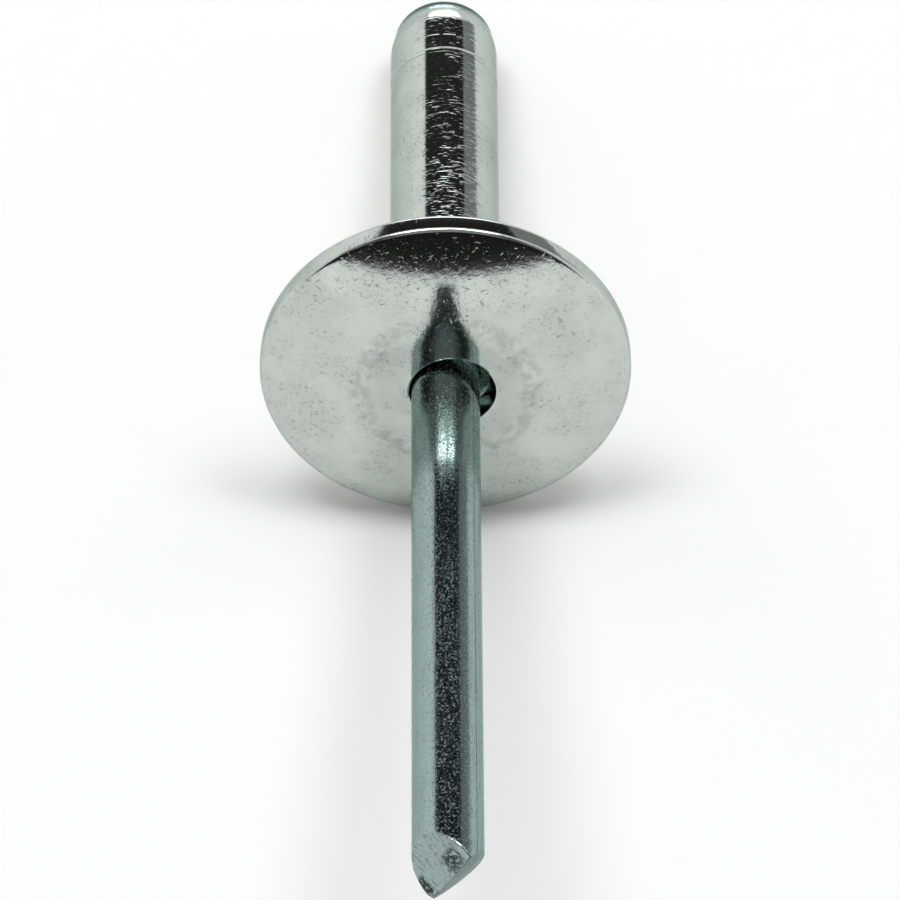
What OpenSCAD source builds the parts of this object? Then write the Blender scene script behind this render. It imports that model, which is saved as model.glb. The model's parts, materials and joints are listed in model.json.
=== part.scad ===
// Large-flange blind rivet with its mandrel still in place, before setting.
// It lies on a flat surface on two points: the rim of its flange and the edge of the mandrel's head.
// The rivet's own axis runs from the cut tip of the mandrel (front, raised) to the domed head (back).

/* [Flange] */
// Diameter of the flange
flange_d = 16; // [10:0.1:20]
// Thickness of the flange at its middle, from the bearing face to the flat round the mouth
flange_t = 2.4; // [2:0.05:3]
// Thickness of the flange at its edge, before the corners are rounded
edge_t = 1.05; // [0.7:0.05:1.4]
// Diameter of the flat round the mouth
flat_d = 6.6; // [5:0.1:8]
// Radius that blends the flat into the dome
flat_blend_r = 6; // [2:0.5:10]
// Rounding of the edge on the domed side
front_corner_r = 0.25; // [0.05:0.01:0.35]
// Rounding of the edge on the bearing side
back_corner_r = 0.3; // [0.1:0.05:0.4]

/* [Shank] */
// Diameter of the shank
shank_d = 4.8; // [4.6:0.05:6]
// Length of the shank from the bearing face to its end
shank_len = 21.5; // [12:0.5:30]
// Length over which the end of the shank is rolled in
rolled_len = 1.1; // [0.6:0.05:1.6]
// How much the rolled end is smaller in radius
rolled_drop = 0.15; // [0.05:0.01:0.3]
// Distance of the ring mark from the end of the shank
ring_from_end = 3.2; // [2:0.1:6]
// Width of the ring mark
ring_w = 0.36; // [0.2:0.02:0.6]
// Depth of the ring mark
ring_depth = 0.03; // [0.01:0.01:0.1]

/* [Mouth] */
// Diameter of the mouth at the flange's flat
mouth_d = 3.7; // [3.65:0.05:4.2]
// How far the mouth was punched to one side of the bore
mouth_offset = 0.3; // [0:0.05:0.3]
// Diameter at the bottom of the tapered mouth
mouth_floor_d = 3.24; // [3.1:0.02:3.6]
// Depth of the tapered mouth
mouth_depth = 0.95; // [0.5:0.05:1.5]
// Chamfer on the edge of the mouth
mouth_chamfer = 0.05; // [0.02:0.01:0.1]
// Full angle of the cone between the mouth and the bore
seat_angle = 118; // [90:1:140]

/* [Mandrel] */
// Diameter of the mandrel's stem
mandrel_d = 2.95; // [2.5:0.05:3]
// Length of the stem that stands out of the flange
stem_out = 29.75; // [20:0.25:40]
// Radial gap between the stem and the bore
bore_gap = 0.04; // [0.02:0.01:0.08]
// Diameter of the mandrel's head
head_d = 4.5; // [4.2:0.05:4.7]
// Height of the straight part of the head
head_land = 0.16; // [0.05:0.01:0.5]
// Rounding of the head's edge
head_corner_r = 1.2; // [0.6:0.1:1.5]
// Radius of the head's crown
head_crown_r = 3; // [2.5:0.1:5]
// Diameter of the neck where the mandrel breaks
neck_d = 2.3; // [1.8:0.05:2.4]
// Length of the neck at its thinnest
neck_len = 0.4; // [0.2:0.1:1]
// Distance from the head's seat to the middle of the neck
neck_from_head = 2; // [1.5:0.1:4]

/* [Cut tip] */
// Angle of the larger cut face, from square across the stem
cut_a = 40; // [20:1:55]
// Angle of the smaller cut face, from square across the stem
cut_b = 49; // [20:1:60]
// Turn of the cut about the stem
cut_turn = 33; // [-90:1:90]
// Distance of the ridge between the cut faces from the stem's axis
ridge_offset = 0.16; // [0:0.02:0.5]

/* [Hidden] */
$fn = 96;

// How far a cutter reaches past the surface that it cuts
over = 1;

flange_r = flange_d / 2;
flat_r = flat_d / 2;
shank_r = shank_d / 2;
mandrel_r = mandrel_d / 2;
bore_r = mandrel_r + bore_gap;
head_r = head_d / 2;
neck_r = neck_d / 2;

// The dome is a sphere on the flange's axis through the edge of the flat and the edge of the flange
dome_centre = (pow(flange_r, 2) - pow(flat_r, 2) + pow(edge_t, 2) - pow(flange_t, 2)) / (2 * (flange_t - edge_t));
dome_r = sqrt(pow(flat_r, 2) + pow(dome_centre + flange_t, 2));

// The blend touches the flat and the dome, so its centre is flat_blend_r above the flat
blend_up = flat_blend_r - flange_t;
blend_out = sqrt(pow(dome_r - flat_blend_r, 2) - pow(dome_centre - blend_up, 2));
blend_end = blend_out * dome_r / (dome_r - flat_blend_r);

// The front corner touches the dome and the straight edge
corner_out = flange_r - front_corner_r;
corner_up = dome_centre - sqrt(pow(dome_r - front_corner_r, 2) - pow(corner_out, 2));
corner_start = corner_out * dome_r / (dome_r - front_corner_r);

// The rolled end is an arc that leaves the shank's side without a kink
rolled_r = (pow(rolled_len, 2) + pow(rolled_drop, 2)) / (2 * rolled_drop);

// The head's corner touches its straight side and its crown
head_corner_out = head_r - head_corner_r;
head_corner_up = shank_len + head_land;
crown_centre = head_corner_up - sqrt(pow(head_crown_r - head_corner_r, 2) - pow(head_corner_out, 2));
crown_start = head_corner_out * head_crown_r / (head_crown_r - head_corner_r);

tip_z = -flange_t - stem_out;
ridge_half = sqrt(pow(mandrel_r, 2) - pow(ridge_offset, 2));
ridge_end_y = ridge_offset * sin(cut_turn) + ridge_half * cos(cut_turn);

// Resting tilt: the floor touches the flange's back corner and the head's corner, two circles in section
reach_r = flange_r - back_corner_r - head_corner_out;
reach_z = head_corner_up + back_corner_r;
rest_tilt = acos((head_corner_r - back_corner_r) / norm([reach_r, reach_z])) - atan2(reach_z, reach_r);
rest_height = (flange_r - back_corner_r) * cos(rest_tilt) + back_corner_r * (1 - sin(rest_tilt));

// The model's origin is under the middle of its length, on the floor
back_y = crown_centre * cos(rest_tilt) + head_crown_r;
front_y = tip_z * cos(rest_tilt) - ridge_end_y * sin(rest_tilt);

// Lays the rivet down: its axis points back and downwards, and the mouth's offset is to +X
module lying() {
    translate([0, -(back_y + front_y) / 2, rest_height]) rotate([-90 - rest_tilt, 0, 0]) children();
}

// Half section of the flange, with the bearing face at z = 0 and the domed face below it
module flange_section() {
    // Flat round the mouth
    translate([0, -flange_t]) square([blend_out, flange_t]);
    // Blend from the flat to the dome
    intersection() {
        translate([blend_out, blend_up]) circle(flat_blend_r, $fn = 240);
        translate([blend_out, -flange_t]) square([blend_end - blend_out, flange_t]);
    }
    // Dome
    intersection() {
        translate([0, dome_centre]) circle(dome_r, $fn = 720);
        translate([blend_end, -flange_t]) square([corner_start - blend_end, flange_t]);
    }
    // Plate behind the dome, out to the straight edge, with the two rounded corners
    translate([0, corner_up]) square([flange_r - back_corner_r, -corner_up]);
    translate([0, corner_up]) square([flange_r, -corner_up - back_corner_r]);
    translate([corner_out, corner_up]) circle(front_corner_r);
    translate([flange_r - back_corner_r, -back_corner_r]) circle(back_corner_r);
}

module flange() {
    rotate_extrude() flange_section();
}

module shank() {
    rotate_extrude() {
        translate([0, -edge_t / 2]) square([shank_r, shank_len - rolled_len + edge_t / 2]);
        square([shank_r - rolled_drop, shank_len]);
        intersection() {
            translate([shank_r - rolled_r, shank_len - rolled_len]) circle(rolled_r, $fn = 180);
            translate([0, shank_len - rolled_len]) square([shank_r, rolled_len]);
        }
    }
}

// Shallow ring left in the shank by the forming die
module ring_mark() {
    translate([0, 0, shank_len - ring_from_end - ring_w / 2]) difference() {
        cylinder(r = shank_r + over, h = ring_w);
        translate([0, 0, -over]) cylinder(r = shank_r - ring_depth, h = ring_w + 2 * over);
    }
}

// Chamfered and tapered mouth with a drill-point seat, drawn down from the flange's flat
module mouth() {
    mouth_r = mouth_d / 2;
    floor_r = mouth_floor_d / 2;
    translate([mouth_offset, 0, -flange_t]) rotate_extrude() polygon([
        [0, -over],
        [mouth_r + mouth_chamfer + over, -over],
        [mouth_r + mouth_chamfer, 0],
        [mouth_r, mouth_chamfer],
        [floor_r, mouth_depth],
        [0, mouth_depth + floor_r / tan(seat_angle / 2)],
    ]);
}

module rivet_body() {
    color("silver") lying() difference() {
        union() {
            flange();
            shank();
        }
        mouth();
        ring_mark();
        translate([0, 0, -flange_t - over]) cylinder(r = bore_r, h = flange_t + shank_len + 2 * over);
    }
}

// Half of the space past one cut face, reaching from the ridge outwards
module cut_face(angle, side) {
    reach = mandrel_d + over;
    translate([ridge_offset, 0, tip_z]) rotate([0, -side * angle, 0])
        translate([side > 0 ? 0 : -2 * reach, -reach, -2 * reach]) cube([2 * reach, 2 * reach, 2 * reach]);
}

module head() {
    rotate_extrude() {
        translate([0, shank_len]) square([head_r, head_land]);
        translate([0, shank_len]) square([head_corner_out, head_land + head_corner_r / 2]);
        translate([head_corner_out, head_corner_up]) intersection() {
            circle(head_corner_r, $fn = 180);
            square(head_corner_r);
        }
        intersection() {
            translate([0, crown_centre]) circle(head_crown_r, $fn = 240);
            translate([0, head_corner_up]) square([crown_start, head_crown_r]);
        }
    }
}

// Stem with the neck where it breaks when the rivet is set
module stem() {
    neck_slope = mandrel_r - neck_r;
    neck_z = shank_len - neck_from_head;
    rotate_extrude() polygon([
        [0, tip_z],
        [mandrel_r, tip_z],
        [mandrel_r, neck_z - neck_len / 2 - neck_slope],
        [neck_r, neck_z - neck_len / 2],
        [neck_r, neck_z + neck_len / 2],
        [mandrel_r, neck_z + neck_len / 2 + neck_slope],
        [mandrel_r, shank_len],
        [0, shank_len],
    ]);
}

module mandrel() {
    color("lightsteelblue") lying() union() {
        head();
        difference() {
            stem();
            rotate([0, 0, cut_turn]) {
                cut_face(cut_b, 1);
                cut_face(cut_a, -1);
            }
        }
    }
}

rivet_body();
mandrel();
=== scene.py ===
"""The looks of a large-flange blind rivet that lies on a pale studio floor."""

import json
import math

import bmesh
import bpy
from mathutils import Matrix, Vector


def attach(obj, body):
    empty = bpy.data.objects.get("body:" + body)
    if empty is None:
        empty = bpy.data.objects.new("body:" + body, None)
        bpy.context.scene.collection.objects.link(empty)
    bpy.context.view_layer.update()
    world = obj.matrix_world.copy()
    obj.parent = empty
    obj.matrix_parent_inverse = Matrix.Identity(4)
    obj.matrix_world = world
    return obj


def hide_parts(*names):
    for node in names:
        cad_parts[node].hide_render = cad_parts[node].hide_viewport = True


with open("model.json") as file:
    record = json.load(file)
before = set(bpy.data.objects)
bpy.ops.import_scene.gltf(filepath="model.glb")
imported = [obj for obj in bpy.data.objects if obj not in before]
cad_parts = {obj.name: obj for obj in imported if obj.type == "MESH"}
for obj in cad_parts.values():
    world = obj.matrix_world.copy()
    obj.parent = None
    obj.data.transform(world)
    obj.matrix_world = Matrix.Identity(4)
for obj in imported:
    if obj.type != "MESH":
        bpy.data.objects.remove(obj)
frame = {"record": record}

bl_info = {
    "name": "Blind rivet looks",
    "version": (1, 0, 0),
    "blender": (4, 5, 0),
    "location": "3D View > Sidebar > Rivet",
    "description": "Models and finishes a blind rivet with its mandrel, and sets up the studio for it",
    "category": "Object",
}

MM = 0.001
DEGREES = 180 / math.pi

# Faces that meet at more than this angle keep a sharp edge between them
SHARP_ANGLE = math.radians(14)
# Edges of the tip that meet at more than this angle are rounded
CUT_EDGE_ANGLE = math.radians(20)
# How far a cutter reaches past the surface that it cuts
OVER = MM
# Which way the blunted point of the tip faces, before the cut is turned about the stem
BLUNT_FACING = Vector((-0.15, 0.6, -0.78)).normalized()
# Colour of the metal where it is seen edge on
EDGE_TINT = (0.55, 0.62, 0.58, 1)

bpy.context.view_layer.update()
MOUNTS = {mount["name"]: mount for mount in frame["record"]["mounts"]}
SHANK_RADIUS = MOUNTS["shank"]["dims"]["r_mm"] * MM

# The rivet's own axis, from the tip to the head, with the up and side directions square to it
ALONG = Vector(MOUNTS["shank"]["axis"]).normalized()
SIDE = Vector((1, 0, 0))
UP = SIDE.cross(ALONG)


# Properties

def length(name, description, default_mm):
    """A length in metres, whose default is given in millimetres."""
    return bpy.props.FloatProperty(
        name=name, description=description, default=default_mm * MM, min=0, unit="LENGTH", precision=5
    )


def angle(name, description, degrees):
    """An angle, whose default is given in degrees."""
    return bpy.props.FloatProperty(name=name, description=description, default=math.radians(degrees), unit="ROTATION")


def amount(name, description, default):
    """A plain number."""
    return bpy.props.FloatProperty(name=name, description=description, default=default, min=0)


def colour(name, description, default):
    """A linear colour."""
    return bpy.props.FloatVectorProperty(
        name=name, description=description, default=default, size=3, subtype="COLOR", min=0, max=1
    )


class RivetBodyValues(bpy.types.PropertyGroup):
    """Sizes and finish of the flange and shank."""

    flange_diameter: length("Flange diameter", "Diameter of the flange", 16)
    flange_thickness: length("Flange thickness", "From the bearing face to the flat round the mouth", 2.4)
    edge_thickness: length("Edge thickness", "Thickness of the flange at its sharp edge", 1.05)
    flat_diameter: length("Flat diameter", "Diameter of the flat round the mouth", 6.6)
    flat_blend: length("Flat blend", "Radius that blends the flat into the dome", 6)
    front_corner: length("Front corner", "Rounding of the edge on the domed side", 0.25)
    back_corner: length("Back corner", "Rounding of the edge on the bearing side", 0.3)
    shank_length: length("Shank length", "From the bearing face to the end of the shank", 21.5)
    rolled_length: length("Rolled length", "Length over which the shank's end is rolled in", 1.1)
    rolled_drop: length("Rolled drop", "How much the rolled end is smaller in radius", 0.15)
    ring_from_end: length("Ring from end", "Distance of the ring mark from the end of the shank", 3.2)
    ring_width: length("Ring width", "Width of the ring mark", 0.36)
    ring_depth: length("Ring depth", "Depth of the ring mark", 0.03)
    mouth_diameter: length("Mouth diameter", "Diameter of the mouth at the flat", 3.7)
    mouth_lip: length("Mouth lip", "Width of the worn lip round the mouth", 0.1)
    mouth_offset: length("Mouth offset", "How far the mouth was punched to one side", 0.3)
    mouth_floor: length("Mouth floor", "Diameter at the bottom of the tapered mouth", 3.24)
    mouth_depth: length("Mouth depth", "Depth of the tapered mouth", 0.95)
    seat_angle: angle("Seat angle", "Full angle of the cone between the mouth and the bore", 118)
    bore_gap: length("Bore gap", "Radial gap between the stem and the bore", 0.04)
    plating: colour("Plating", "Colour of the bright zinc", (0.565, 0.612, 0.569))
    roughness: amount("Roughness", "Roughness of the clean plating", 0.075)


class MandrelValues(bpy.types.PropertyGroup):
    """Sizes and finish of the mandrel."""

    diameter: length("Diameter", "Diameter of the stem", 2.95)
    stem_out: length("Stem out", "Length of the stem outside the flange", 29.75)
    head_diameter: length("Head diameter", "Diameter of the head", 4.5)
    head_land: length("Head land", "Height of the straight part of the head", 0.16)
    head_corner: length("Head corner", "Rounding of the head's edge", 1.2)
    head_lean: angle("Head lean", "How far the side of the head leans in", 6.5)
    head_height: length("Head height", "From the end of the shank to the top of the crown", 1.697)
    neck_diameter: length("Neck diameter", "Diameter of the hidden neck where the stem breaks", 2.3)
    neck_length: length("Neck length", "Length of the neck at its thinnest", 0.4)
    neck_from_head: length("Neck from head", "From the end of the shank to the middle of the neck", 2)
    cut_a: angle("Large cut", "Angle of the larger cut face", 40)
    cut_b: angle("Small cut", "Angle of the smaller cut face", 49)
    cut_turn: angle("Cut turn", "Turn of the cut about the stem", 33)
    ridge_offset: length("Ridge offset", "Distance of the ridge from the stem's axis", 0.16)
    cut_corner: length("Cut corner", "Rounding of the cut faces' edges", 0.07)
    tip_worn: length("Tip worn", "How much the sharp point of the tip is blunted", 0.12)
    plating: colour("Plating", "Colour of the bluish zinc", (0.323, 0.414, 0.418))
    fresh_cut: colour("Fresh cut", "Colour of the sheared faces", (0.294, 0.375, 0.367))
    brown_spots: colour("Brown spots", "Colour of the brown spots", (0.2, 0.16, 0.1))
    green_spots: colour("Green spots", "Colour of the green spots", (0.2, 0.34, 0.26))
    roughness: amount("Roughness", "Roughness of the clean plating", 0.08)


class StudioValues(bpy.types.PropertyGroup):
    """Camera, floor and light."""

    lens: bpy.props.FloatProperty(name="Lens", description="Focal length", default=320, unit="CAMERA")
    distance: length("Distance", "From the camera to the point that it looks at", 344.834)
    elevation: angle("Elevation", "How far the camera looks down", 55.852)
    azimuth: angle("Azimuth", "How far the camera looks to the right", 0.3)
    roll: angle("Roll", "Turn of the camera about its own line of sight", 0.1)
    aim: bpy.props.FloatVectorProperty(
        name="Aim", description="Point that the camera looks at", default=(0.000186, 0.000825, 0.005791),
        size=3, subtype="TRANSLATION", precision=5,
    )
    floor_reach: length("Floor reach", "From the middle of the floor to its edge", 3000)
    floor: colour("Floor", "Colour of the floor", (0.98, 0.98, 0.98))
    light: amount("Light", "Strength of the soft light", 1.74)


# Shader trees

class Wire:
    """A socket of a shader tree. Arithmetic on wires adds the Math nodes that work it out."""

    def __init__(self, tree, socket):
        self.tree = tree
        self.socket = socket

    def math(self, operation, *others):
        """Adds one Math node, with this wire as its first value."""
        return self.tree.add("ShaderNodeMath", {"operation": operation}, [self, *others])

    def __add__(self, other):
        return self.math("ADD", other)

    def __sub__(self, other):
        return self.math("SUBTRACT", other)

    def __mul__(self, other):
        return self.math("MULTIPLY", other)

    def __rsub__(self, other):
        return self.tree.add("ShaderNodeMath", {"operation": "SUBTRACT"}, [other, self])

    def __neg__(self):
        return self * -1

    __radd__ = __add__
    __rmul__ = __mul__

    def ramp(self, low, high):
        """A smooth step from 0 at the first value to 1 at the second, which may be the smaller one."""
        inputs = {"Value": self, "From Min": low, "From Max": high}
        return self.tree.add("ShaderNodeMapRange", {"interpolation_type": "SMOOTHSTEP"}, inputs)


class Tree:
    """A node tree that is filled through one method."""

    def __init__(self, owner):
        owner.use_nodes = True
        self.nodes = owner.node_tree.nodes
        self.links = owner.node_tree.links
        self.nodes.clear()

    def add(self, kind, settings=None, inputs=None, output=0):
        """Adds a node with its settings and its inputs, and gives one of its outputs as a wire."""
        node = self.nodes.new(kind)
        for name, value in (settings or {}).items():
            setattr(node, name, value)
        pairs = inputs.items() if isinstance(inputs, dict) else enumerate(inputs or [])
        for key, value in pairs:
            if isinstance(value, Wire):
                self.links.new(value.socket, node.inputs[key])
            else:
                node.inputs[key].default_value = value
        return Wire(self, node.outputs[output]) if node.outputs else None

    def dot(self, vector, direction):
        """The part of a vector along a fixed direction."""
        return self.add("ShaderNodeVectorMath", {"operation": "DOT_PRODUCT"}, [vector, direction], "Value")

    def mix(self, factor, first, second):
        """A colour between two colours."""
        inputs = {0: factor, 6: first, 7: second}
        return self.add("ShaderNodeMix", {"data_type": "RGBA", "clamp_factor": True}, inputs, 2)


def between(value, low, high, soft):
    """A mask that is 1 between two values, with soft edges centred on them."""
    half = soft / 2
    return value.ramp(low - half, low + half) * (1 - value.ramp(high - half, high + half))


def rgba(values, factor=1):
    """A colour with full alpha."""
    return (values[0] * factor, values[1] * factor, values[2] * factor, 1)


# Mesh helpers

def axis_origin():
    """The point on the axis in the plane of the bearing face."""
    on_face = Vector(MOUNTS["bearing_face"]["pos_m"])
    on_axis = Vector(MOUNTS["shank"]["pos_m"])
    return on_axis + ALONG * (on_face - on_axis).dot(ALONG)


# The rivet's own frame: x to the side, y downwards and z along the axis, from the bearing face
ORIGIN = axis_origin()
OWN_TURN = Matrix((SIDE, -UP, ALONG)).transposed()


def ordered(bm):
    """Sorts the parts of a mesh by place, so that the next step gives the same result in each run."""
    def place(vert):
        return [round(value / MM, 5) for value in vert.co]

    def corners(part):
        return sorted(vert.index for vert in part.verts)

    for parts, key in ((bm.verts, place), (bm.edges, corners), (bm.faces, corners)):
        rank = {part: number for number, part in enumerate(sorted(parts, key=key))}
        parts.sort(key=rank.get)
        parts.index_update()


class Outline:
    """The half section of a turned piece, drawn in its own XZ plane as a chain of edges and then spun."""

    def __init__(self, start):
        self.bm = bmesh.new()
        self.last = self.bm.verts.new((start[0], 0, start[1]))

    def line(self, x, z, steps=1):
        """Draws a straight stretch to a point."""
        shift = (Vector((x, 0, z)) - self.last.co) / steps
        for _ in range(steps):
            made = bmesh.ops.extrude_vert_indiv(self.bm, verts=[self.last])
            self.last = made["verts"][0]
            bmesh.ops.translate(self.bm, vec=shift, verts=[self.last])
        return self

    def arc(self, x, z, turn, steps):
        """Draws an arc about a centre, by a turn in radians that is positive from +Z towards +X."""
        made = bmesh.ops.spin(
            self.bm, geom=[self.last], cent=(x, 0, z), axis=(0, 1, 0), angle=turn, steps=steps, use_merge=False
        )
        self.last = next(item for item in made["geom_last"] if isinstance(item, bmesh.types.BMVert))
        return self

    def spun(self, steps=256):
        """Spins the outline into a closed solid and gives its bmesh."""
        bm = self.bm
        bmesh.ops.spin(
            bm, geom=bm.verts[:] + bm.edges[:], cent=(0, 0, 0), axis=(0, 0, 1),
            angle=2 * math.pi, steps=steps, use_merge=True,
        )
        bmesh.ops.remove_doubles(bm, verts=bm.verts[:], dist=1e-7)
        bmesh.ops.dissolve_degenerate(bm, edges=bm.edges[:], dist=1e-8)
        ordered(bm)
        bmesh.ops.recalc_face_normals(bm, faces=bm.faces[:])
        return bm


def smoothed(mesh):
    """Shades a mesh smooth, apart from its sharp edges."""
    mesh.polygons.foreach_set("use_smooth", [True] * len(mesh.polygons))
    mesh.set_sharp_from_angle(angle=SHARP_ANGLE)


def finished(name, bm):
    """Turns the faces of a solid outwards, lays it down in the floor's frame and makes it an object."""
    if bm.calc_volume(signed=True) < 0:
        bmesh.ops.reverse_faces(bm, faces=bm.faces[:])
    bmesh.ops.transform(bm, matrix=Matrix.Translation(ORIGIN) @ OWN_TURN.to_4x4(), verts=bm.verts[:])
    mesh = bpy.data.meshes.new(name)
    bm.to_mesh(mesh)
    bm.free()
    smoothed(mesh)
    piece = bpy.data.objects.new(name, mesh)
    bpy.context.scene.collection.objects.link(piece)
    return piece


def cut_with(piece, cutter):
    """Takes a cutter's solid away from a piece and deletes the cutter."""
    modifier = piece.modifiers.new("cut", "BOOLEAN")
    modifier.operation = "DIFFERENCE"
    modifier.solver = "EXACT"
    modifier.object = cutter
    with bpy.context.temp_override(object=piece, active_object=piece, selected_objects=[piece]):
        bpy.ops.object.modifier_apply(modifier=modifier.name)
    cutter_mesh = cutter.data
    bpy.data.objects.remove(cutter)
    bpy.data.meshes.remove(cutter_mesh)


def cleaned(piece):
    """Merges the slivers that a boolean leaves on flat faces and sets the smooth shading again."""
    bm = bmesh.new()
    bm.from_mesh(piece.data)
    ordered(bm)
    bmesh.ops.remove_doubles(bm, verts=bm.verts[:], dist=2e-6)
    bmesh.ops.dissolve_degenerate(bm, edges=bm.edges[:], dist=1e-6)
    bmesh.ops.dissolve_limit(
        bm, angle_limit=math.radians(0.05), use_dissolve_boundaries=False, verts=bm.verts[:], edges=bm.edges[:]
    )
    bmesh.ops.recalc_face_normals(bm, faces=bm.faces[:])
    bm.to_mesh(piece.data)
    bm.free()
    smoothed(piece.data)


def sliced(bm, point, facing):
    """Cuts off what lies past a plane, on the side that it faces, and closes the cut with one face."""
    cut = bmesh.ops.bisect_plane(
        bm, geom=bm.verts[:] + bm.edges[:] + bm.faces[:], plane_co=point, plane_no=facing, clear_outer=True
    )
    rim = [item for item in cut["geom_cut"] if isinstance(item, bmesh.types.BMEdge)]
    bmesh.ops.contextual_create(bm, geom=rim)


# Finishes

def own_frame(tree):
    """A vector in the rivet's own frame, in millimetres, with z along the axis from the bearing face."""
    coordinates = tree.add("ShaderNodeTexCoord", output="Object")
    inputs = {"Vector": coordinates, "Location": ORIGIN, "Rotation": OWN_TURN.to_euler(), "Scale": (MM, MM, MM)}
    return tree.add("ShaderNodeMapping", {"vector_type": "TEXTURE"}, inputs)


def parts_of(tree, vector):
    """The three parts of a vector."""
    node = tree.add("ShaderNodeSeparateXYZ", inputs=[vector]).socket.node
    return [Wire(tree, socket) for socket in node.outputs]


def joined(tree, x, y, z):
    """A vector from three parts."""
    return tree.add("ShaderNodeCombineXYZ", inputs=[x, y, z])


def grain(tree, vector, scale, detail=2, roughness=0.5):
    """Noise from 0 to 1, with a scale in cells per millimetre."""
    inputs = {"Vector": vector, "Scale": scale, "Detail": detail, "Roughness": roughness}
    return tree.add("ShaderNodeTexNoise", inputs=inputs)


def metal(tree, base, roughness, normal):
    """Ends a tree in a bare metal surface, a little dull where it is seen edge on."""
    inputs = {
        "Base Color": base, "Metallic": 1.0, "Roughness": roughness, "Normal": normal, "Specular Tint": EDGE_TINT,
    }
    surface = tree.add("ShaderNodeBsdfPrincipled", inputs=inputs)
    tree.add("ShaderNodeOutputMaterial", inputs=[surface])


def bumped(tree, height, depth_mm):
    """A normal from a height between 0 and 1."""
    return tree.add("ShaderNodeBump", inputs={"Height": height, "Strength": 1.0, "Distance": depth_mm * MM})


def scratches(tree, point, turns, long, thin, low, high):
    """Short scratches in several directions, as the strongest of stretched noises, sized in millimetres."""
    total = None
    for number, degrees in enumerate(turns):
        inputs = {
            "Vector": point, "Location": (3.7 * number, 1.3 * number, 0), "Rotation": (0, 0, math.radians(degrees)),
            "Scale": (long, thin, long),
        }
        stretched = tree.add("ShaderNodeMapping", {"vector_type": "TEXTURE"}, inputs)
        line = grain(tree, stretched, 1, 1, 0.4).ramp(low, high)
        total = line if total is None else total.math("MAXIMUM", line)
    return total


def body_finish(values):
    """Bright zinc on the cold-formed flange and shank: cloudy, dinged and chatter-marked."""
    material = bpy.data.materials.new("bright_zinc")
    tree = Tree(material)
    point = own_frame(tree)
    x, y, z = parts_of(tree, point)
    radius = (x * x + y * y).math("SQRT")
    shank_r = SHANK_RADIUS / MM
    shank_end = values.shank_length / MM
    around = y.math("ARCTAN2", x)
    turned = around * shank_r
    on_shank = z.ramp(-0.1, 0.2) * (1 - radius.ramp(shank_r + 0.1, shank_r + 0.4))

    # Flange: clouds and fine specks, a faint ring where the flat ends, and short dings from tumbling
    clouds = grain(tree, point, 0.45, 4, 0.65)
    specks = grain(tree, point, 6, 3, 0.6).ramp(0.54, 0.68) * clouds.ramp(0.4, 0.6)
    ring = between(radius + (clouds - 0.5) * 1.2, 3.2, 4.1, 0.6) * grain(tree, point, 2.2, 2).ramp(0.3, 0.65)
    peel = grain(tree, point, 2.6, 3, 0.55)
    dings = scratches(tree, point, (12, -38, 71), 0.42, 0.1, 0.71, 0.84)
    small_dings = scratches(tree, point, (-15, 48), 0.2, 0.06, 0.7, 0.84)

    # Shank: crescent chatter marks round it, denser towards the flange, and a faint second ring near its end
    wrapped = joined(tree, turned * 1.4, radius, z * 5.5 + around.math("SINE") * 0.8)
    chatter = grain(tree, wrapped, 1, 2, 0.45).ramp(0.55, 0.7)
    fine = grain(tree, joined(tree, turned * 3, radius, z * 11), 1, 1, 0.5).ramp(0.56, 0.72)
    density = grain(tree, point, 0.7, 2).ramp(0.35, 0.6) * 0.6 + 0.4
    marks = (chatter + fine * 0.5) * (0.4 + 0.4 * z.ramp(18, 8)) * density
    faint_z = shank_end - 2.09
    faint_ring = between(z, faint_z - 0.04, faint_z + 0.04, 0.04)
    faint_ring = faint_ring * grain(tree, joined(tree, turned, 7, 0), 1.5, 1).ramp(0.4, 0.6)

    face_height = peel * 0.6 + (dings * 0.7 + small_dings * 0.35) * radius.ramp(2, 2.6)
    shank_height = peel * 0.3 + marks - faint_ring * 0.7
    height = face_height * (1 - on_shank) + shank_height * on_shank

    shade = 1 - clouds.ramp(0.3, 0.75) * 0.2 - specks * 0.42 - ring * 0.3
    base = tree.mix(shade, rgba(values.plating, 0.25), rgba(values.plating))
    roughness = values.roughness + clouds * 0.03 + specks * 0.05
    metal(tree, base, roughness, bumped(tree, height, 0.008))
    return material


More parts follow.
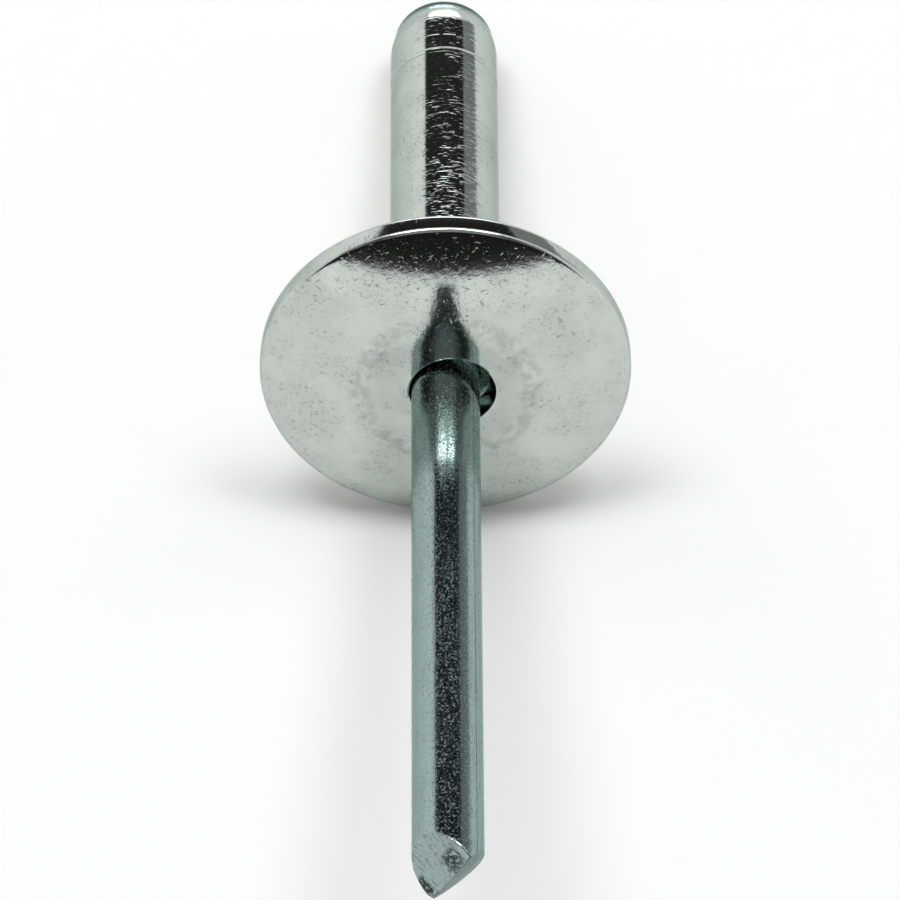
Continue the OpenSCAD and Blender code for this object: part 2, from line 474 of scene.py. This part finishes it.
def mandrel_finish(values, seat):
    """Bluish zinc on the drawn stem and on the head past its seat, with a sheared tip. The head is darkened in colour
    as a painted dark reflection.
    """
    material = bpy.data.materials.new("blue_zinc")
    tree = Tree(material)
    point = own_frame(tree)
    x, y, z = parts_of(tree, point)
    around = y.math("ARCTAN2", x)
    radius = (x * x + y * y).math("SQRT")
    stem_r = values.diameter / 2 / MM
    turned = around * stem_r
    on_cut = (1 - radius.ramp(stem_r - 0.04, stem_r - 0.01)) * z.ramp(-20, -22)
    # Mask for the head past its seat, where the colour is darkened as a painted dark reflection
    painted_dark_head = z.ramp(seat / MM + 0.1, seat / MM + 0.3)

    # Stem: fine draw lines along it and one shallow groove, darkened in colour as a painted dark reflection line,
    # with small pits and brown and green spots
    lines = grain(tree, joined(tree, turned * 11, 0, z * 0.22), 1, 3, 0.6)
    pits = grain(tree, joined(tree, turned * 7, 0, z * 4), 1, 3, 0.6).ramp(0.56, 0.7)
    salt = grain(tree, joined(tree, turned * 11, 0, z * 11), 1, 3, 0.75).ramp(0.48, 0.7)
    spots = grain(tree, joined(tree, turned * 6, 3, z * 4.5), 1, 3, 0.6)
    salt = salt * (0.25 + spots.ramp(0.38, 0.58))
    clouds = grain(tree, point, 0.6, 3)
    # A shallow groove along the stem, whose colour is darkened as a painted dark reflection line
    groove_and_painted_line = between(around * DEGREES, -38.4, -36.6, 1)

    # Cut faces: parallel shear lines square to the ridge, and torn pits next to it, darkened almost to black as
    # painted shade in the pits
    sheared = {"Vector": point, "Rotation": (0, 0, values.cut_turn), "Scale": (0.3, 0.085, 0.3)}
    shear = grain(tree, tree.add("ShaderNodeMapping", {"vector_type": "TEXTURE"}, sheared), 1, 2, 0.5)
    from_ridge = tree.dot(point, (math.cos(values.cut_turn), math.sin(values.cut_turn), 0))
    # The cut face past the ridge is darkened in colour as painted shade, for the way it faces the light
    painted_shade_past_ridge = (from_ridge - values.ridge_offset / MM).ramp(-0.02, 0.02)
    along_ridge = tree.dot(point, (-math.sin(values.cut_turn), math.cos(values.cut_turn), 0))
    torn_middle = between(along_ridge, -1.05, -0.3, 0.4) * between(from_ridge, -0.5, 0.1, 0.3)
    torn_end = between(along_ridge, 1, 1.45, 0.2) * between(from_ridge, -0.6, 0.1, 0.3)
    torn_pits_and_shade = grain(tree, point, 6, 4, 0.7).ramp(0.42, 0.5) * (torn_middle + torn_end)

    stem_height = lines * 0.5 - pits * 0.4 + salt * 0.3 - groove_and_painted_line
    cut_height = shear.ramp(0.35, 0.65) * 0.5 - torn_pits_and_shade * 2
    height = stem_height * (1 - on_cut) + cut_height * on_cut
    stem_shade = 1 - pits * 0.35 - lines.ramp(0.45, 0.75) * 0.22 - clouds.ramp(0.4, 0.8) * 0.1 - groove_and_painted_line * 0.7
    cut_shade = 1.15 - shear.ramp(0.45, 0.37) * 0.8 - torn_pits_and_shade * 0.8 - painted_shade_past_ridge * 0.45
    shade = (stem_shade * (1 - on_cut) + cut_shade * on_cut) * (1 - painted_dark_head)
    clean = tree.mix(on_cut, rgba(values.plating), rgba(values.fresh_cut))
    base = tree.mix(shade, rgba(values.plating, 0.25), clean)
    # Painted shade: the torn pits are darkened almost to black in colour
    base = tree.mix(torn_pits_and_shade * on_cut * 0.8, base, rgba(values.plating, 0.05))
    base = tree.mix(spots.ramp(0.58, 0.72) * 0.6 * (1 - on_cut), base, rgba(values.brown_spots))
    base = tree.mix(spots.ramp(0.42, 0.28) * 0.5 * (1 - on_cut), base, rgba(values.green_spots))
    stains = (spots.ramp(0.54, 0.64) + spots.ramp(0.46, 0.36)) * (1 - on_cut)
    roughness = values.roughness + pits * 0.12 + stains * 0.3
    metal(tree, base, roughness, bumped(tree, height, 0.006))
    return material


def floor_finish(values):
    """Plain matt white."""
    material = bpy.data.materials.new("studio_floor")
    tree = Tree(material)
    surface = tree.add("ShaderNodeBsdfDiffuse", inputs={"Color": rgba(values.floor)})
    tree.add("ShaderNodeOutputMaterial", inputs=[surface])
    return material


def studio_sky(values):
    """Soft light from all round, with the panels and dark openings of the studio that polished metal shows."""
    world = bpy.data.worlds.new("studio_sky")
    tree = Tree(world)
    ray = tree.add("ShaderNodeTexCoord", output="Generated")
    along, up, side = (tree.dot(ray, direction) for direction in (ALONG, UP, SIDE))
    from_axis = along.math("ARCCOSINE") * DEGREES
    about_axis = side.math("ARCTAN2", up) * DEGREES
    over = up.math("ARCTAN2", -along) * DEGREES
    height = tree.dot(ray, (0, 0, 1)).math("ARCSINE") * DEGREES
    front = tree.dot(ray, (0, -1, 0))
    sideways = side.math("ABSOLUTE")

    near_gap = between(height, 8.6, 34, 1.5) * front.ramp(-0.1, 0.15) * (1 - sideways.ramp(0.68, 0.8))
    near_glow = between(height, -9, 8.6, 1.5) * front.ramp(-0.1, 0.15)
    near_dusk = between(over, 20, 68, 10) * (1 - sideways.ramp(0.45, 0.75))
    near_sides = between(over, 15, 80, 5) * between(sideways, 0.36, 0.8, 0.06)
    overhead = between(over, 75, 88, 3) * (1 - sideways.ramp(0.4, 0.5))
    split = between(side, 0.08 - (86 - over) * 0.012, 0.08 + (86 - over) * 0.012, 0.02) * overhead
    ahead = between(from_axis, 33, 67, 1.5)
    far_gap = ahead * between(about_axis, -41, 43, 2.5)
    far_dusk = ahead * between(about_axis, 43, 104, 2.5)
    far_line = ahead * between(about_axis, 106, 110, 1.5)
    far_glow = ahead * between(about_axis, -76, -43, 2)
    far_panel = (1 - from_axis.ramp(27, 30)) * between(about_axis, -41, 43, 5) * height.ramp(0, 2)

    level = 0.65 + (overhead - split) * 7 + far_panel * 2.2 + near_glow * 0.12 + far_glow * 0.11
    level = level * (1 - near_dusk * 0.66) * (1 - near_gap * 0.985) * (1 - near_sides * 0.65)
    level = level * (1 - far_gap * 0.98) * (1 - far_dusk * 0.7) * (1 - far_line * 0.6)
    seen = tree.add("ShaderNodeLightPath", output="Is Camera Ray")
    strength = level * values.light * (1 - seen) + seen
    background = tree.add("ShaderNodeBackground", inputs={"Strength": strength})
    tree.add("ShaderNodeOutputWorld", inputs=[background])
    return world


# Operators

class RIVET_OT_body(bpy.types.Operator):
    """Models the flange and shank as one turned piece with its punched mouth and bore"""

    bl_idname = "rivet.body"
    bl_label = "Flange and shank"

    def execute(self, context):
        values = context.scene.rivet_body_values
        mandrel = context.scene.mandrel_values
        flange_r = values.flange_diameter / 2
        flat_r = values.flat_diameter / 2
        thick = values.flange_thickness
        edge = values.edge_thickness
        front = values.front_corner
        back = values.back_corner
        blend = values.flat_blend
        dome_z = (flange_r**2 - flat_r**2 + edge**2 - thick**2) / (2 * (thick - edge))
        dome_r = math.hypot(flat_r, dome_z + thick)
        blend_z = blend - thick
        blend_x = math.sqrt((dome_r - blend) ** 2 - (dome_z - blend_z) ** 2)
        corner_x = flange_r - front
        corner_z = dome_z - math.sqrt((dome_r - front) ** 2 - corner_x**2)
        dome_start = math.atan2(blend_x, dome_z - blend_z)
        dome_end = math.asin(corner_x / (dome_r - front))

        outline = Outline((0, -thick))
        outline.line(blend_x, -thick, 8)
        outline.arc(blend_x, blend_z, -dome_start, 12)
        outline.arc(0, dome_z, dome_start - dome_end, 40)
        outline.arc(corner_x, corner_z, dome_end - math.pi / 2, 8)
        outline.line(flange_r, -back, 2)
        outline.arc(flange_r - back, -back, -math.pi / 2, 10)
        outline.line(SHANK_RADIUS, 0, 6)
        rolled_r = (values.rolled_length**2 + values.rolled_drop**2) / (2 * values.rolled_drop)
        rolled_turn = math.asin(values.rolled_length / rolled_r)
        straight_end = values.shank_length - values.rolled_length
        ring_z = values.shank_length - values.ring_from_end
        ring_half = values.ring_width / 2
        outline.line(SHANK_RADIUS, ring_z - ring_half, 18)
        ring_slope = 3 * values.ring_depth
        ring_flat = ring_half - ring_slope
        outline.line(SHANK_RADIUS - values.ring_depth, ring_z - ring_flat)
        outline.line(SHANK_RADIUS - values.ring_depth, ring_z + ring_flat)
        outline.line(SHANK_RADIUS, ring_z + ring_half)
        outline.line(SHANK_RADIUS, straight_end, 3)
        outline.arc(SHANK_RADIUS - rolled_r, straight_end, -rolled_turn, 10)
        outline.line(0, values.shank_length, 2)
        piece = finished("rivet_body_skin", outline.spun())

        mouth_r = values.mouth_diameter / 2
        floor_r = values.mouth_floor / 2
        lip = values.mouth_lip
        mouth = Outline((0, -thick - OVER))
        mouth.line(mouth_r + lip, -thick - OVER).line(mouth_r + lip, -thick)
        mouth.line(mouth_r + lip * 0.3, -thick + lip * 0.2).line(mouth_r, -thick + lip * 0.6)
        mouth.line(floor_r, -thick + values.mouth_depth)
        mouth.line(0, -thick + values.mouth_depth + floor_r / math.tan(values.seat_angle / 2))
        cutter = mouth.spun(128)
        bmesh.ops.translate(cutter, vec=(values.mouth_offset, 0, 0), verts=cutter.verts[:])
        cut_with(piece, finished("mouth_cutter", cutter))

        bore_r = mandrel.diameter / 2 + values.bore_gap
        bore_end = values.shank_length + OVER
        bore = Outline((0, -thick - OVER)).line(bore_r, -thick - OVER).line(bore_r, bore_end).line(0, bore_end)
        cut_with(piece, finished("bore_cutter", bore.spun(128)))
        cleaned(piece)

        piece.data.materials.clear()
        piece.data.materials.append(body_finish(values))
        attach(piece, "root")
        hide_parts("rivet_body")
        return {"FINISHED"}


class RIVET_OT_mandrel(bpy.types.Operator):
    """Models the mandrel: domed head, drawn stem and sheared tip"""

    bl_idname = "rivet.mandrel"
    bl_label = "Mandrel"

    def execute(self, context):
        values = context.scene.mandrel_values
        body = context.scene.rivet_body_values
        radius = values.diameter / 2
        head_r = values.head_diameter / 2
        seat = body.shank_length
        tip = -body.flange_thickness - values.stem_out
        corner = values.head_corner
        lean = values.head_lean
        side_x = head_r - values.head_land * math.tan(lean)
        corner_x = side_x - corner * math.cos(lean)
        corner_z = seat + values.head_land - corner * math.sin(lean)
        rise = seat + values.head_height - corner_z
        crown = (corner_x**2 + rise**2 - corner**2) / (2 * (rise - corner))
        crown_z = corner_z + rise - crown
        crown_turn = math.asin(corner_x / (crown - corner))
        neck_r = values.neck_diameter / 2
        neck_low = seat - values.neck_from_head - values.neck_length / 2
        neck_high = neck_low + values.neck_length

        outline = Outline((0, tip))
        outline.line(radius, tip)
        outline.line(radius, neck_low - (radius - neck_r), 56)
        outline.line(neck_r, neck_low).line(neck_r, neck_high)
        outline.line(radius, neck_high + (radius - neck_r)).line(radius, seat, 4)
        outline.line(head_r, seat, 2)
        outline.line(side_x, seat + values.head_land, 2)
        outline.arc(corner_x, corner_z, crown_turn + lean - math.pi / 2, 20)
        outline.arc(0, crown_z, -crown_turn, 14)
        bm = outline.spun()

        turn = Matrix.Rotation(values.cut_turn, 3, "Z")
        ridge = turn @ Vector((values.ridge_offset, 0, tip))
        for angle_of_cut, side in ((values.cut_a, -1), (values.cut_b, 1)):
            sliced(bm, ridge, turn @ Vector((side * math.sin(angle_of_cut), 0, -math.cos(angle_of_cut))))
        ridge_end = turn @ Vector((values.ridge_offset, math.sqrt(radius**2 - values.ridge_offset**2), tip))
        blunt = turn @ BLUNT_FACING
        sliced(bm, ridge_end - blunt * values.tip_worn, blunt)
        bmesh.ops.remove_doubles(bm, verts=bm.verts[:], dist=1e-6)
        cut_top = tip + 4 * MM
        rims = [
            edge for edge in bm.edges
            if max(vert.co.z for vert in edge.verts) < cut_top and edge.calc_face_angle(0) > CUT_EDGE_ANGLE
        ]
        bmesh.ops.bevel(
            bm, geom=rims, offset=values.cut_corner, offset_type="OFFSET", segments=3, profile=0.5,
            affect="EDGES", material=-1,
        )
        bmesh.ops.recalc_face_normals(bm, faces=bm.faces[:])
        piece = finished("mandrel_skin", bm)
        piece.data.materials.append(mandrel_finish(values, seat))
        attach(piece, "root")
        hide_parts("mandrel")
        return {"FINISHED"}


class RIVET_OT_studio(bpy.types.Operator):
    """Sets the floor, the soft light and the camera"""

    bl_idname = "rivet.studio"
    bl_label = "Studio"

    def execute(self, context):
        values = context.scene.studio_values
        bm = bmesh.new()
        bmesh.ops.create_grid(bm, x_segments=1, y_segments=1, size=values.floor_reach)
        mesh = bpy.data.meshes.new("studio_floor")
        bm.to_mesh(mesh)
        bm.free()
        floor = bpy.data.objects.new("studio_floor", mesh)
        mesh.materials.append(floor_finish(values))
        context.scene.collection.objects.link(floor)
        context.scene.world = studio_sky(values)

        lens = bpy.data.cameras.new("camera")
        lens.lens = values.lens
        lens.sensor_width = 36
        lens.clip_start = 0.01
        lens.clip_end = 10
        camera = bpy.data.objects.new("camera", lens)
        context.scene.collection.objects.link(camera)
        heading = Matrix.Rotation(-values.azimuth, 4, "Z") @ Matrix.Rotation(math.pi / 2 - values.elevation, 4, "X")
        heading = heading @ Matrix.Rotation(values.roll, 4, "Z")
        camera.matrix_world = Matrix.Translation(values.aim) @ heading @ Matrix.Translation((0, 0, values.distance))
        context.scene.camera = camera
        context.scene.view_settings.view_transform = "Standard"
        return {"FINISHED"}


class RIVET_PT_panel(bpy.types.Panel):
    """The rivet's sizes, finishes and studio"""

    bl_idname = "RIVET_PT_panel"
    bl_label = "Blind rivet"
    bl_space_type = "VIEW_3D"
    bl_region_type = "UI"
    bl_category = "Rivet"

    def draw(self, context):
        scene = context.scene
        for values, operator in (
            (scene.rivet_body_values, RIVET_OT_body),
            (scene.mandrel_values, RIVET_OT_mandrel),
            (scene.studio_values, RIVET_OT_studio),
        ):
            box = self.layout.box()
            for name in values.bl_rna.properties.keys():
                if name not in ("rna_type", "name"):
                    box.prop(values, name)
            box.operator(operator.bl_idname)


CLASSES = (
    RivetBodyValues, MandrelValues, StudioValues, RIVET_OT_body, RIVET_OT_mandrel, RIVET_OT_studio, RIVET_PT_panel,
)


def register():
    """Adds the classes, and a set of values for each piece to the scene."""
    for cls in CLASSES:
        bpy.utils.register_class(cls)
    bpy.types.Scene.rivet_body_values = bpy.props.PointerProperty(type=RivetBodyValues)
    bpy.types.Scene.mandrel_values = bpy.props.PointerProperty(type=MandrelValues)
    bpy.types.Scene.studio_values = bpy.props.PointerProperty(type=StudioValues)


def unregister():
    """Takes the values and the classes away again."""
    del bpy.types.Scene.rivet_body_values
    del bpy.types.Scene.mandrel_values
    del bpy.types.Scene.studio_values
    for cls in reversed(CLASSES):
        bpy.utils.unregister_class(cls)


def main():
    register()
    bpy.ops.rivet.body()
    bpy.ops.rivet.mandrel()
    bpy.ops.rivet.studio()


if __name__ == "__main__":
    main()
